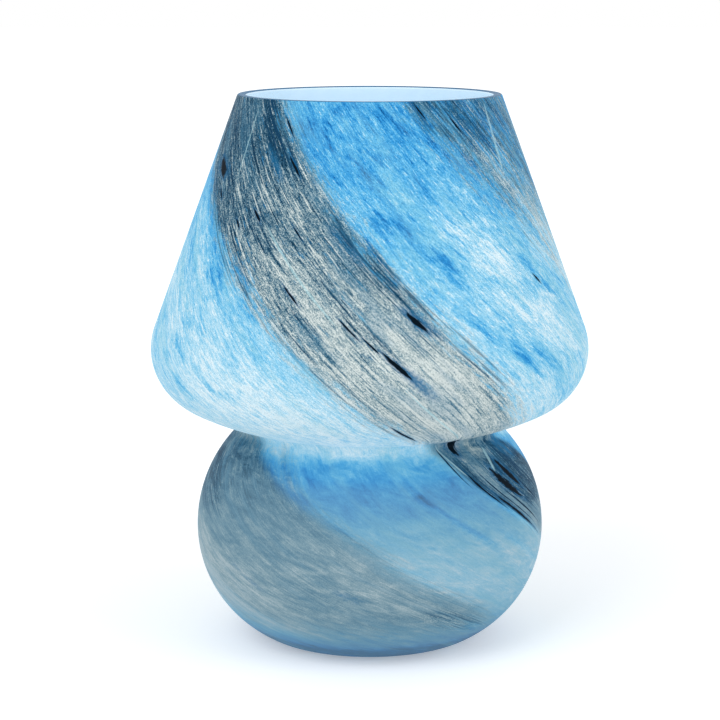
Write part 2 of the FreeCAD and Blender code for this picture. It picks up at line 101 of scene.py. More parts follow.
glass = {
    "foot": 0.0012, "height": 0.2373, "rim": 0.0565, "shade": 0.095, "shadeRise": 0.0335,
    "shoulder": 0.0275, "underside": 0.105, "waist": 0.055, "waistHeight": 0.0943,
    "waistFillet": 0.0025, "base": 0.0758, "baseHeight": 0.0491, "footArc": 0.020,
    "footCircle": 0.03836, "footGrind": 0.0003, "punt": 0.026, "puntDepth": 0.002,
    "wall": 0.0038, "floor": 0.0048, "rimRound": 0.0009,
    "cordHole": 0.0065, "cordHoleDrop": 22.0,
    "outerStep": 0.0016, "innerStep": 0.004, "turnSteps": 320,
    "puntSteps": 13, "ringSteps": 7, "floorSteps": 11, "rimSteps": 4, "holeSteps": 96,
    "sharpAngle": 0.7,
}


def circlesMeet(centreA, radiusA, centreB, radiusB):
    # both points where two circles meet: along the line of centres, then square to it
    line = centreB - centreA
    span = np.hypot(*line)
    along = (span ** 2 + radiusA ** 2 - radiusB ** 2) / (2 * span)
    across = math.sqrt(radiusA ** 2 - along ** 2)
    line = line / span
    middle = centreA + line * along
    aside = np.array([-line[1], line[0]]) * across
    return middle + aside, middle - aside


def glassArcs(g):
    # centres and radii of the profile's arcs, which the outer and inner surface share
    waist = np.array([g["waist"], g["foot"] + g["waistHeight"]])
    shoulder = np.array([g["shade"] - g["shoulder"], waist[1] + g["shadeRise"]])
    under = max(circlesMeet(shoulder, g["underside"] - g["shoulder"], waist, g["underside"]),
                key=lambda p: p[1])
    inset, rise = g["base"] - g["waist"], g["waistHeight"] - g["baseHeight"]
    upperRadius = (inset ** 2 + rise ** 2) / (2 * inset)
    level = g["foot"] + g["baseHeight"]
    upper = np.array([g["base"] - upperRadius, level])
    pinch = max(circlesMeet(under, g["underside"] + g["waistFillet"], upper,
                            upperRadius + g["waistFillet"]), key=lambda p: p[0])
    footCentre = np.array([g["footCircle"], g["foot"] + g["footArc"] - g["footGrind"]])
    inset, drop = g["base"] - g["footCircle"], level - footCentre[1]
    lowerRadius = (inset ** 2 + drop ** 2 - g["footArc"] ** 2) / (2 * (inset - g["footArc"]))
    lower = np.array([g["base"] - lowerRadius, level])
    return shoulder, under, pinch, (upper, upperRadius), (lower, lowerRadius), footCentre


def arcPoints(centre, radius, start, end, step):
    # points on a circle from one angle to another, about a step apart
    count = max(3, int(abs(end - start) * radius / step))
    angles = np.linspace(start, end, count + 1)
    return centre + radius * np.stack([np.cos(angles), np.sin(angles)], axis=1)


def surfaceProfile(g, inset, step, bottom):
    # radius and height down the wall, from the rim's level to the foot arc where it meets bottom:
    # a straight flank, then arcs over shoulder, underside, waist, upper base, lower base and foot
    shoulder, under, pinch, (upper, upperRadius), (lower, lowerRadius), foot = glassArcs(g)
    top = g["foot"] + g["height"]
    toRim = np.array([g["rim"], top]) - shoulder
    slant = math.atan2(toRim[1], toRim[0]) - math.acos(g["shoulder"] / np.hypot(*toRim))
    radius = g["shoulder"] - inset
    rimRadius = shoulder[0] + (radius - (top - shoulder[1]) * math.sin(slant)) / math.cos(slant)
    end = shoulder + radius * np.array([math.cos(slant), math.sin(slant)])
    angle = lambda a, b: math.atan2(b[1] - a[1], b[0] - a[0])
    count = int(np.hypot(*(end - (rimRadius, top))) / step)
    flank = np.linspace((rimRadius, top), end, count + 1)
    footEnd = -math.asin((foot[1] - bottom) / (g["footArc"] - inset))
    parts = [
        flank,
        arcPoints(shoulder, radius, slant, angle(under, shoulder), step),
        arcPoints(under, g["underside"] - inset, angle(under, shoulder), angle(under, pinch), step),
        arcPoints(pinch, g["waistFillet"] + inset, angle(under, pinch) + math.pi,
                  angle(upper, pinch) + math.pi, step / 2),
        arcPoints(upper, upperRadius - inset, angle(upper, pinch), 0, step),
        arcPoints(lower, lowerRadius - inset, 0, angle(lower, foot), step),
        arcPoints(foot, g["footArc"] - inset, angle(lower, foot), footEnd, step / 2),
    ]
    return np.concatenate([parts[0]] + [p[1:] for p in parts[1:]])


def roundCorner(before, corner, after, radius, steps):
    # arc that touches both legs of a corner: its points turn evenly about the arc's centre
    a = (before - corner) / np.hypot(*(before - corner))
    b = (after - corner) / np.hypot(*(after - corner))
    half = math.acos(float(np.clip(a @ b, -1, 1))) / 2
    centre = corner + (a + b) / np.hypot(*(a + b)) * radius / math.sin(half)
    leg = radius / math.tan(half)
    first, last = corner + a * leg - centre, corner + b * leg - centre
    start, end = math.atan2(first[1], first[0]), math.atan2(last[1], last[0])
    end += 2 * math.pi * round((start - end) / (2 * math.pi))
    turn = np.linspace(start, end, steps + 1)
    return centre + radius * np.stack([np.cos(turn), np.sin(turn)], axis=1)


def glassProfile(g):
    # one line from the pole under the foot, up the outside, over the rim, and down the inside to
    # the floor's pole, with the finish of each stretch: 0 outside, 1 rim, 2 inside, 3 ground foot
    outer = surfaceProfile(g, 0.0, g["outerStep"], g["foot"])[::-1]
    inner = surfaceProfile(g, g["wall"], g["innerStep"], g["foot"] + g["floor"])
    sphere = (g["punt"] ** 2 + g["puntDepth"] ** 2) / (2 * g["puntDepth"])
    radii = np.linspace(0, g["punt"], g["puntSteps"] + 1)
    apex = g["foot"] + g["puntDepth"]
    punt = np.stack([radii, apex - sphere + np.sqrt(sphere ** 2 - radii ** 2)], axis=1)
    ring = np.linspace(punt[-1], outer[0], g["ringSteps"] + 1)[1:-1]
    outerRim = roundCorner(outer[-2], outer[-1], inner[0], g["rimRound"], g["rimSteps"])
    innerRim = roundCorner(outer[-1], inner[0], inner[1], g["rimRound"], g["rimSteps"])
    floor = np.linspace(inner[-1], (0, inner[-1][1]), g["floorSteps"] + 1)[1:]
    edge = g["rimSteps"] // 2 + 1  # the polished edge reaches half way down each rounding
    runs = [(punt, 0), (ring, 3), (outer[:-1], 0), (outerRim[:edge], 0), (outerRim[edge:], 1),
            (innerRim[:edge], 1), (innerRim[edge:], 2), (inner[1:], 2), (floor, 2)]
    points = np.concatenate([r for r, _ in runs])
    finish = np.concatenate([np.full(len(r), f) for r, f in runs])
    return points, finish


def turnedMesh(name, points, finish, steps):
    # surface of revolution: profile point i at turn j stands at (r sin, -r cos, z); the first and
    # last point are poles on the axis, closed by fans
    angles = np.linspace(0, 2 * np.pi, steps, endpoint=False)
    rings = points[1:-1]
    x = rings[:, :1] * np.sin(angles)
    y = -rings[:, :1] * np.cos(angles)
    z = np.repeat(rings[:, 1:], steps, axis=1)
    vertices = np.stack([x, y, z], axis=2).reshape(-1, 3)
    poles = np.array([(0, 0, points[0][1]), (0, 0, points[-1][1])])
    vertices = np.concatenate([vertices, poles])
    here = np.arange(steps)
    following = (here + 1) % steps
    row = np.arange(len(rings) - 1)[:, None] * steps
    quads = np.stack([row + here, row + following, row + steps + following, row + steps + here],
                     axis=2).reshape(-1, 4)
    firstPole, lastPole = len(vertices) - 2, len(vertices) - 1
    last = (len(rings) - 1) * steps
    lowFan = np.stack([np.full(steps, firstPole), following, here], axis=1)
    highFan = np.stack([np.full(steps, lastPole), last + here, last + following], axis=1)
    mesh = bpy.data.meshes.new(name)
    mesh.from_pydata(vertices, [], quads.tolist() + lowFan.tolist() + highFan.tolist())
    slots = np.concatenate([np.repeat(finish[2:-1], steps), np.full(steps, finish[1]),
                            np.full(steps, finish[-1])])
    mesh.polygons.foreach_set("material_index", slots.astype(np.int32))
    return mesh


def cylinderObject(name, radius, start, end, steps):
    # closed cylinder from one point to another, to cut with
    axis = (end - start) / np.linalg.norm(end - start)
    side = np.cross(axis, (1.0, 0.0, 0.0))
    side /= np.linalg.norm(side)
    other = np.cross(axis, side)
    angles = np.linspace(0, 2 * np.pi, steps, endpoint=False)
    ring = radius * (np.cos(angles)[:, None] * side + np.sin(angles)[:, None] * other)
    vertices = np.concatenate([start + ring, end + ring])
    here = np.arange(steps)
    following = (here + 1) % steps
    walls = np.stack([here, following, following + steps, here + steps], axis=1).tolist()
    mesh = bpy.data.meshes.new(name)
    mesh.from_pydata(vertices, [], walls + [here[::-1].tolist(), (here + steps).tolist()])
    cutter = bpy.data.objects.new(name, mesh)
    bpy.context.collection.objects.link(cutter)
    return cutter


def cutCordHole(body, g):
    # the hole's axis leaves the lower base arc's centre circle at the back, turned down by the drop
    lower, lowerRadius = glassArcs(g)[4]
    drop = math.radians(g["cordHoleDrop"])
    origin = np.array([0, lower[0], lower[1]])
    axis = np.array([0, math.cos(drop), -math.sin(drop)])
    cutter = cylinderObject("holeCutter", g["cordHole"], origin + axis * (lowerRadius - 3 * g["wall"]),
                            origin + axis * (lowerRadius + g["wall"]), g["holeSteps"])
    cut = body.modifiers.new("cordHole", "BOOLEAN")
    cut.operation, cut.solver, cut.object = "DIFFERENCE", "EXACT", cutter
    graph = bpy.context.evaluated_depsgraph_get()
    cutMesh = bpy.data.meshes.new_from_object(body.evaluated_get(graph))
    body.modifiers.clear()
    body.data = cutMesh
    bpy.data.objects.remove(cutter)


# The swirl in the glass. The colours were laid on as bars and twisted while the glass was blown, so
# every streak follows one twist. Its steepness in degrees a millimetre is given by distance in mm
# down the glass from the rim. Patterns are read on a drum of the flow radius, with the twist undone.
twist = {
    "distance": (0, 140, 165, 185, 200, 215, 235, 260, 288, 340),
    "steepness": (0.63, 0.63, 0.25, 0.5, 1.0, 1.15, 1.35, 1.65, 1.8, 1.8),
    "flowRadius": 0.075,
    "sumStep": 0.5,
}

# How the glass looks by distance from the rim in mm: how light the blue ground and the grey bands are,
# the glass's own tone together with painted light and shade: painted light of the bulb pales the shade
# towards its lower part, a painted pool of light lies on the base just under the shade, and painted
# shade darkens the base towards the foot. Then how calm the pattern is (livelier below 0), and how far
# painted shade dims the base's colours
light = {
    "distance": (0, 30, 55, 80, 110, 150, 165, 174, 177, 180, 185, 190, 197, 203, 210, 220, 232, 247,
                 258, 264, 270, 290),
    "groundLevel": (0.45, 0.48, 0.55, 0.67, 0.76, 0.86, 0.9, 0.73, 0.52, 0.37, 0.28, 0.23, 0.25, 0.39,
                    0.58, 0.78, 0.78, 0.74, 0.5, 0.22, -0.25, -0.3),
    "greyLevel": (0.3, 0.35, 0.46, 0.58, 0.68, 0.7, 0.6, 0.36, 0.33, 0.31, 0.3, 0.3, 0.32, 0.38, 0.45,
                  0.55, 0.6, 0.5, 0.42, 0.34, 0.2, 0.1),
    "calm": (-0.5, -0.5, -0.45, -0.35, -0.2, 0.1, 0.2, 0.7, 0.7, 0.7, 0.65, 0.65, 0.6, 0.6, 0.6, 0.6,
             0.6, 0.6, 0.7, 0.8, 0.8, 0.8),
    "dull": (0, 0, 0, 0, 0, 0, 0, 0, 0.05, 0.12, 0.2, 0.4, 0.5, 0.58, 0.6, 0.55, 0.5, 0.55, 0.65, 0.7,
             0.5, 0.4),
}

# Grey bands: distances from the rim in mm, bearings before twisting of the left and right edge there,
# how strong the band is, and over how many degrees each edge fades
bands = [
    {"distance": (0, 30, 45, 60, 80, 110, 160, 178, 200, 212, 235, 262),
     "left": (-104, -98, -95, -91, -88, -85, -80, -72.5, -68, -65.5, -62, -58),
     "right": (-38, -38, -38, -38, -38, -40, -46, -28, -20, -18, -16, -14),
     "strength": (1, 1, 1, 1, 1, 1, 1, 1, 1, 0.9, 0.8, 0.5),
     "soft": (12, 12, 12, 12, 12, 12, 14, 5, 5, 6, 9, 9)},
    {"distance": (0, 20, 50, 80, 110), "left": (10, 13, 16, 18, 22), "right": (84, 84, 78, 62, 46),
     "strength": (0.64, 0.6, 0.52, 0.4, 0.1), "soft": (12, 12, 12, 12, 12)},
    {"distance": (110, 130, 165), "left": (-60, -60, -60), "right": (-34, -35, -38),
     "strength": (0.3, 0.42, 0.42), "soft": (8, 8, 8)},
    {"distance": (168, 178, 190, 200, 213, 225, 245, 262),
     "left": (-240, -238, -234, -230, -226, -226, -228, -230),
     "right": (-150, -148, -142, -137, -131, -134, -130, -132),
     "strength": (0.6, 0.75, 1, 1, 0.9, 0.85, 0.8, 0.4), "soft": (10, 10, 12, 15, 16, 16, 16, 14)},
    {"distance": (174, 185, 200, 215, 235), "left": (-160, -160, -155, -150, -145),
     "right": (-132, -131, -129, -126, -124), "strength": (0.3, 0.38, 0.4, 0.35, 0.25),
     "soft": (7, 7, 7, 7, 7)},
    {"distance": (20, 60, 110, 160, 190, 220, 255), "left": (104, 108, 112, 118, 116, 112, 110),
     "right": (136, 138, 150, 146, 140, 146, 150), "strength": (0.3, 0.9, 1, 0.9, 0.8, 0.7, 0.4),
     "soft": (9, 9, 9, 9, 9, 9, 9)},
    {"distance": (30, 70, 110, 140), "left": (172, 176, 180, 184), "right": (196, 202, 204, 200),
     "strength": (0.2, 0.7, 0.6, 0.2), "soft": (9, 9, 9, 9)},
    {"distance": (185, 210, 240, 260), "left": (26, 30, 34, 38), "right": (62, 72, 76, 70),
     "strength": (0.3, 0.9, 0.8, 0.4), "soft": (14, 14, 14, 14)},
]

# Soft patches of colour: bearing before twisting in degrees, distance from the rim in mm, half width
# in degrees, half length in mm, strength
swirl = {
    "darks": [
        (-74, 8, 22, 22, 0.6), (-47, 12, 5, 24, 1.3), (-86, 32, 8, 22, 0.9), (-42, 66, 4, 18, 1.0),
        (-89, 62, 4, 26, 0.7), (-84, 105, 4, 50, 0.3), (-40, 95, 4, 30, 0.7), (20, 6, 6, 12, 0.8),
        (34, 9, 8, 14, 1.0), (56, 18, 10, 26, 0.4), (-52, 194, 8, 14, 1.1), (-44, 191, 8, 18, 1.0),
        (-30, 194, 10, 18, 1.0), (-68, 195, 3, 22, 0.8), (-197, 193, 20, 14, 0.65),
        (-133, 226, 3, 26, 0.25), (-150, 252, 10, 8, 0.6), (-70, 52, 6, 14, 0.4), (-75, 82, 2, 14, 0.8),
        (-61, 92, 1.5, 20, 0.8), (120, 60, 6, 20, 0.8), (138, 120, 5, 26, 0.6),
    ],
    "creams": [
        (-62, 120, 14, 40, 0.85), (-66, 66, 3, 14, 1.0), (-54, 42, 2.5, 12, 1.0), (-71, 95, 4, 20, 1.0),
        (-57, 78, 5, 18, 0.8), (32, 26, 4, 14, 1.0), (34, 60, 6, 18, 0.7), (22, 46, 2.5, 7, 1.0),
        (34.5, 46, 2.5, 8, 1.0), (-148, 236, 14, 20, 0.4), (-218, 236, 22, 26, 1.2),
        (-66, 142, 3, 26, 0.9), (-52, 112, 4, 24, 0.5), (128, 100, 8, 40, 0.7), (-60, 180, 6, 13, 1.2),
        (-61, 203, 4, 14, 0.7),
    ],
    "blues": [
        (-27, 14, 3, 8, 0.9), (-18, 30, 2, 6, 0.9), (3, 10, 4, 10, 0.9), (-34, 22, 3, 12, 0.9),
        (-21, 68, 4, 13, 0.8), (-27, 102, 4, 12, 0.7), (-19, 111, 2.5, 9, 0.75), (-20, 127, 3, 8, 0.8),
        (-24, 45, 7, 22, 0.5), (-12, 10, 12, 16, 0.3), (8, 72, 2.5, 5, 1.0), (-3, 30, 4, 16, 0.5),
        (7, 80, 2.5, 6, 1.0), (-118, 96, 2, 5, 0.8), (-125, 108, 2, 6, 1.0), (-135, 126, 2, 5, 0.9),
        (-121, 119, 1.5, 6, 0.7), (-107, 115, 1.5, 4, 0.7), (-110, 68, 3, 9, 0.4), (-87, 74, 2, 9, 1.0),
        (40, 8, 26, 12, 0.35), (24, 40, 12, 14, 0.3), (-94, 50, 3, 16, 0.6), (-96, 82, 6, 24, 0.5),
        (-52.5, 27, 1.5, 8, 1.0), (-45, 60, 2, 8, 0.8), (-44.5, 91, 3, 7, 0.8), (-61, 116, 1.5, 7, 1.0),
        (-129, 181, 3, 8, 0.35), (-33, 177, 9, 7, 1.2), (-94.5, 191, 2, 9, 0.6), (-93, 206, 1.8, 11, 0.6),
        (-83, 222, 1.8, 9, 0.5), (-94, 173, 1.5, 3, 0.6), (-141, 188, 5, 9, 0.25), (-198, 231, 2, 5, 0.9),
        (-165.5, 235, 2, 3, 1.0),
        (150, 40, 8, 18, 0.8), (170, 90, 7, 22, 0.8), (90, 110, 5, 16, 0.8), (-170, 60, 8, 20, 0.7),
    ],
    # pale patches of the glass, but the faint one at 172 mm, just under the shade, is a painted pool of
    # light cast by the shade's lit underside
    "whites": [
        (-4, 64, 8, 14, 0.9), (-6, 98, 8, 14, 0.6), (-112, 128, 22, 22, 0.4), (-98, 88, 9, 18, 0.3),
        (-104, 60, 9, 16, 0.5), (-128, 80, 12, 26, 0.4), (-2, 48, 3, 14, 0.5), (9, 41, 1.5, 5, 0.9),
        (8, 52, 1.5, 4, 0.9), (-12, 88, 3, 10, 0.7), (32, 64, 14, 28, 0.8), (75, 110, 14, 24, 0.5),
        (160, 130, 16, 20, 0.5), (-105, 172, 18, 6, 0.2), (-132.5, 192, 1.5, 12, 0.5),
        (-226, 240, 26, 24, 0.9), (-190, 128, 14, 26, 0.5),
    ],
}

# Black glass drawn out in the streaks: bearing, distance, half width in mm, half length in mm
inclusions = [
    (-85.2, 31, 3.8, 4.4), (-45, 91, 1.2, 4.5), (-61.8, 109, 1.1, 5.5), (-44.8, 28, 0.7, 4.5),
    (-39.5, 11, 0.5, 4.5), (-69.4, 49, 0.8, 3.0), (-79.6, 53, 0.6, 2.4), (-86.8, 42, 0.6, 2.4),
    (-57.3, 55, 0.4, 3.6), (-73, 81, 0.6, 4.5), (-64.6, 94, 0.5, 4.5), (-62.9, 100.5, 0.4, 3.0),
    (-80.4, 144, 0.6, 8.0), (6.8, 78, 0.6, 2.2), (17.7, 4, 0.5, 4.0), (29, 11, 0.6, 4.5),
    (-66.3, 206, 1.1, 11.0), (-56, 193, 2.8, 8.5), (-49.4, 189, 2.2, 7.5), (-63.5, 198, 0.4, 14.0),
    (-68.8, 193, 0.7, 9.0), (-60, 205, 0.5, 10.0), (-47.2, 201, 0.5, 7.0), (-65, 169, 3.0, 8.0),
    (-72.5, 180, 0.4, 9.0),
]

# Pale threads at the surface: bearing, distance, half width in mm, half length in mm, and how many
# degrees of bearing they drift for each millimetre down the glass
threads = [
    (-66, 138, 0.5, 20, 0.0), (-64.5, 19, 0.35, 16, -0.65), (44.5, 17, 0.8, 15, -0.65),
    (-67, 72, 0.6, 20, 0.0), (-52, 181, 0.9, 6, -0.5), (-71, 178, 0.5, 9, 0.2),
]

# Shares of a patch's half size where it starts to fade and where it ends, how far in mm a band fades
# out past its ends, and how far over the floor in metres a point still counts as under the foot
fades = {"patchFull": 0.6, "patchEnd": 1.4, "bandEnd": 12, "underFoot": 0.0005}


def flowCoordinates(points, g):
    # distance down the glass from the rim by height, going on inwards under the foot, and the bearing
    # before twisting: the bearing round the axis less the twist summed to that distance, step by step
    wall = surfaceProfile(g, 0.0, g["outerStep"], g["foot"])
    lengths = np.concatenate([[0], np.cumsum(np.hypot(*np.diff(wall, axis=0).T))])
    radius = np.hypot(points[:, 0], points[:, 1])
    distance = np.interp(points[:, 2], wall[::-1, 1], lengths[::-1])
    low = points[:, 2] < g["foot"] + g["floor"] + fades["underFoot"]
    distance = np.where(low & (radius < wall[-1, 0]), lengths[-1] + wall[-1, 0] - radius, distance)
    step = twist["sumStep"]
    millimetres = np.arange(0, twist["distance"][-1] + step, step)
    steepness = np.interp(millimetres, twist["distance"], twist["steepness"])
    summed = np.concatenate([[0], np.cumsum((steepness[1:] + steepness[:-1]) / 2 * step)])
    bearing = np.arctan2(points[:, 0], -points[:, 1])
    return bearing - np.radians(np.interp(distance * 1000, millimetres, summed)), distance


def smoothShare(value, low, high):
    # 0 below low, 1 above high, and the cubic 3t^2 - 2t^3 between
    share = np.clip((value - low) / (high - low), 0, 1)
    return share * share * (3 - 2 * share)


def patchField(bearing, distance, patches):
    # strongest of the patches at each point, by the root of the summed squares of bearing and distance
    # away over half width and half length: full at first, then fading to nothing
    degrees, millimetres = np.degrees(bearing), distance * 1000
    field = np.zeros(len(bearing))
    for q, s, halfQ, halfS, strength in patches:
        offset = (degrees - q + 180) % 360 - 180
        away = np.hypot(offset / halfQ, (millimetres - s) / halfS)
        faded = smoothShare(away, fades["patchFull"], fades["patchEnd"])
        field = np.maximum(field, strength * (1 - faded))
    return field


def bandField(bearing, distance, strips):
    # strongest of the bands at each point: full between its edges, fading softly across each edge and
    # past each end
    degrees, millimetres = np.degrees(bearing), distance * 1000
    field = np.zeros(len(bearing))
    for strip in strips:
        left, right, strength = [np.interp(millimetres, strip["distance"], strip[key])
                                 for key in ("left", "right", "strength")]
        first, last = strip["distance"][0], strip["distance"][-1]
        strength = strength * smoothShare(millimetres, first - fades["bandEnd"], first)
        strength = strength * (1 - smoothShare(millimetres, last, last + fades["bandEnd"]))
        middle = (left + right) / 2
        soft = np.interp(millimetres, strip["distance"], strip["soft"])
        offset = np.abs((degrees - middle + 180) % 360 - 180)
        field = np.maximum(field, strength * (1 - smoothShare(offset - (right - left) / 2, -soft, soft)))
    return field


# What each vector stored on the glass holds besides the drum coordinates
storedVectors = {
    "bands": ("greys", "darks", "creams"), "tints": ("blues", "whites", "calm"),
    "levels": ("groundLevel", "greyLevel", "dull"),
}


def storeVector(mesh, name, parts):
    # three numbers at every vertex, which the glass material reads by name
    layer = mesh.attributes.new(name, "FLOAT_VECTOR", "POINT")
    layer.data.foreach_set("vector", np.stack(parts, axis=1).astype(np.float32).ravel())


def paintSwirl(mesh, g):
    # stores the drum coordinates, the fields of the bands and patches and the light at every vertex:
    # the drum's x and y are the flow radius times the cosine and sine of the bearing before twisting
    points = np.empty(len(mesh.vertices) * 3)
    mesh.vertices.foreach_get("co", points)
    bearing, distance = flowCoordinates(points.reshape(-1, 3), g)
    flow = twist["flowRadius"]
    storeVector(mesh, "flow", (flow * np.cos(bearing), flow * np.sin(bearing), distance))
    fields = {key: patchField(bearing, distance, patches) for key, patches in swirl.items()}
    fields["greys"] = bandField(bearing, distance, bands)
    for key in ("groundLevel", "greyLevel", "calm", "dull"):
        fields[key] = np.interp(distance * 1000, light["distance"], light[key])
    for name, keys in storedVectors.items():
        storeVector(mesh, name, [fields[key] for key in keys])


glassLook = {
    # how the streaks wander, as melted glass does: drawn out by the share, size in mm, reach in metres
    "driftShare": 0.5, "driftSize": 30, "driftReach": 0.008,
    # noises on the drum: the share of the distance down the glass that they read, below 1 for blobs
    # drawn out along the streaks, the size of a blob in mm, detail and roughness
    "noises": {
        "clouds": (0.4, 16, 3, 0.55), "feather": (0.45, 3.0, 6, 0.72), "flakes": (0.35, 5, 5, 0.7),
        "short": (0.35, 1.1, 3, 0.7), "broad": (0.15, 4.2, 4, 0.6), "fine": (0.13, 1.4, 3, 0.6),
        "hair": (0.06, 1.0, 2, 0.5), "dashes": (0.06, 1.3, 2, 0.5), "hue": (0.3, 11, 3, 0.6),
        "mottle": (1.7, 9, 6, 0.68), "fibres": (0.3, 0.8, 2, 0.8),
    },
    # how much a noise is bent by itself, and a shift that keeps the dashes from following the hairs
    "bend": {"mottle": 0.5}, "offset": {"dashes": (0.3, 0.1, 0.2)},
    # frost: the grit is near 0.1 mm, and drawn at 0.5 mm so that it shows. Size, detail, roughness;
    # how strong its specks are, the shader's least roughness and its spread, the bump's share and height
    "grain": (0.5, 2, 0.9), "grainSpecks": 0.65, "grainRough": (0.42, 0.2), "grainBump": (0.12, 0.0002),
    # shares cut from a noise: 0 below the first number, 1 above the second
    "cuts": {
        "patchy": ("flakes", 0.42, 0.56), "cobalt": ("flakes", 0.52, 0.66),
        "strokes": ("short", 0.58, 0.7), "sea": ("hue", 0.5, 0.66), "slate": ("hue", 0.5, 0.64),
        "lightLines": ("hair", 0.55, 0.7), "darkLines": ("dashes", 0.55, 0.68),
        "inkLines": ("dashes", 0.5, 0.6),
    },
    # how much each noise moves the blue ground, the grey bands, the edge of the bands and the outline
    # of the black glass and the pale threads
    "groundNoise": {"clouds": 0.3, "feather": 0.7, "fine": 0.2, "grain": 0.4, "fibres": 0.7,
                    "cobalt": -0.2, "strokes": 0.25},
    "bandNoise": {"clouds": 0.33, "feather": 0.25, "broad": 0.3, "fine": 0.4, "fibres": 1.15,
                  "grain": 1.4, "lightLines": 0.3, "darkLines": -0.3},
    "edgeNoise": {"broad": 1.0, "feather": 1.0, "fine": 0.9, "fibres": 0.8},
    "ragged": {"fine": 1.6, "fibres": 1.6},
    # where the pattern is calm, wrinkles of mottle take the place of streaks
    "calming": 0.92, "groundWrinkles": 1.6, "bandWrinkles": 2.1, "edgeWrinkles": 0.9,
    # blue ground: its darkest level, which only the painted shade near the foot reaches, and its
    # lightest; colours from one to the other; how flaky its patches are; a greener blue that clouds it
    "groundRange": (-0.3, 1.0),
    "groundColours": ((0.0, "#0b4672"), (0.2, "#1b76bf"), (0.38, "#3097db"), (0.55, "#58b5e6"),
                      (0.7, "#86cdee"), (0.86, "#b4e1f5"), (1.0, "#e8f7fd")),
    "patchShare": 0.4, "whiteLift": 0.28, "blueDrop": -0.26, "sea": (0.28, "#86cbe0"),
    # grey bands: slate, taupe and cream, livelier where they are dark, with slate and blue laid over
    "bandColours": ((0.0, "#05263a"), (0.2, "#215878"), (0.4, "#577f93"), (0.58, "#859fa9"),
                    (0.76, "#adbfc1"), (1.0, "#dde5e3")),
    "creamLift": 0.14, "darkDrop": -0.2, "darkLively": 1.4, "mostLively": 1.5,
    "slate": (0.3, "#4d88a8"), "blueInBand": (0.6, "#1f6c99"),
    # edge of the bands: where it begins and is full, how much sooner where the glass is calm, the
    # haze mixed into it and how much of it, and the least strength that a band shows in full
    "bandEdge": (0.3, 0.75), "calmEdge": -0.3, "bandHaze": (0.25, 0.85), "hazeShare": 0.35,
    "bandLimit": 0.3,
    # painted shade: the base is dimmed towards a grey-blue, as less of the bulb's light reaches it, but
    # for its dark and blue streaks
    "paintedShade": "#7598aa", "darkClear": -0.8, "blueClear": -0.35, "ink": (0.7, "#0f3f60"),
    # black glass with a blue edge, and pale threads: the distance where each begins, where it is
    # full, its strength and its colour, and a distance that keeps threads off the lamp's other side
    "blackEdge": (2.4, 0.9, 0.7, "#1c5f8c"), "black": (1.2, 0.75, 1.0, "#03121d"),
    "pale": (1.4, 0.6, 0.5, "#b6e0e8"), "otherSide": 99.0,
    # light from the bulb inside, and how much of the light on it the frosted face gives back
    "glow": 0.43, "surface": "#c4c4c4", "specular": 0.03,
}


def inclusionDistance(tree, flow, q, s, halfWidth, halfLength):
    # 1 on the edge of a lens: offset in width over half width, plus the square of the offset in
    # length over half length
    radius, angle = twist["flowRadius"], math.radians(q)
    centre = (radius * math.cos(angle), radius * math.sin(angle), s / 1000)
    offset = addNode(tree, "VectorMath", (flow, centre), operation="SUBTRACT")
    scale = (1000 / halfWidth, 1000 / halfWidth, 0)
    scaled = addNode(tree, "VectorMath", (offset, scale), operation="MULTIPLY")
    across = addNode(tree, "VectorMath", (scaled,), "Value", operation="LENGTH")
    scale = (0, 0, 1000 / halfLength)
    along = addNode(tree, "VectorMath", (offset, scale), "Value", operation="DOT_PRODUCT")
    return addNode(tree, "Math", (along, along, across), operation="MULTIPLY_ADD")


def threadDistance(tree, flow, q, s, halfWidth, halfLength, drift):
    # 1 on the edge of a thread: offset across it over its half width, plus the fourth power of the
    # offset along it over its half length, and far more on the other side of the lamp
    turned = addNode(tree, "VectorRotate", {"Vector": flow, "Angle": -math.radians(q)},
                     rotation_type="Z_AXIS")
    x, y, z = addNode(tree, "SeparateXYZ", (turned,), None)
    along = addNode(tree, "Math", (z, -s / 1000), operation="ADD")
    lean = math.radians(drift) * twist["flowRadius"] * 1000
    across = addNode(tree, "Math", (along, -lean, y), operation="MULTIPLY_ADD")
    across = addNode(tree, "Math", (across,), operation="ABSOLUTE")
    behind = addNode(tree, "Math", (x, 0.0), operation="LESS_THAN")
    behind = addNode(tree, "Math", (behind, glassLook["otherSide"]), operation="MULTIPLY")
    across = addNode(tree, "Math", (across, 1000 / halfWidth, behind), operation="MULTIPLY_ADD")
    share = addNode(tree, "Math", (along, 1000 / halfLength), operation="MULTIPLY")
    share = addNode(tree, "Math", (share,), operation="ABSOLUTE")
    share = addNode(tree, "Math", (share, 4.0), operation="POWER")
    return addNode(tree, "Math", (across, share), operation="ADD")


def noiseSum(tree, at, start, strength, weights):
    # start plus the strength times the sum of each weight times how far its noise is from the middle
    total = -sum(weights.values()) / 2
    for name, weight in weights.items():
        total = addNode(tree, "Math", (at[name], weight, total), operation="MULTIPLY_ADD")
    return addNode(tree, "Math", (total, strength, start), operation="MULTIPLY_ADD")


def colourScale(tree, level, stops):
    # colour by level, from (place, hex code) pairs
    colour = addNode(tree, "ValToRGB", (level,))
    ramp = colour.node.color_ramp
    ramp.interpolation = "B_SPLINE"
    for _ in stops[2:]:
        ramp.elements.new(0.5)
    for element, (place, code) in zip(ramp.elements, stops):
        element.position = place
        element.color = linearColour(code)
    return colour


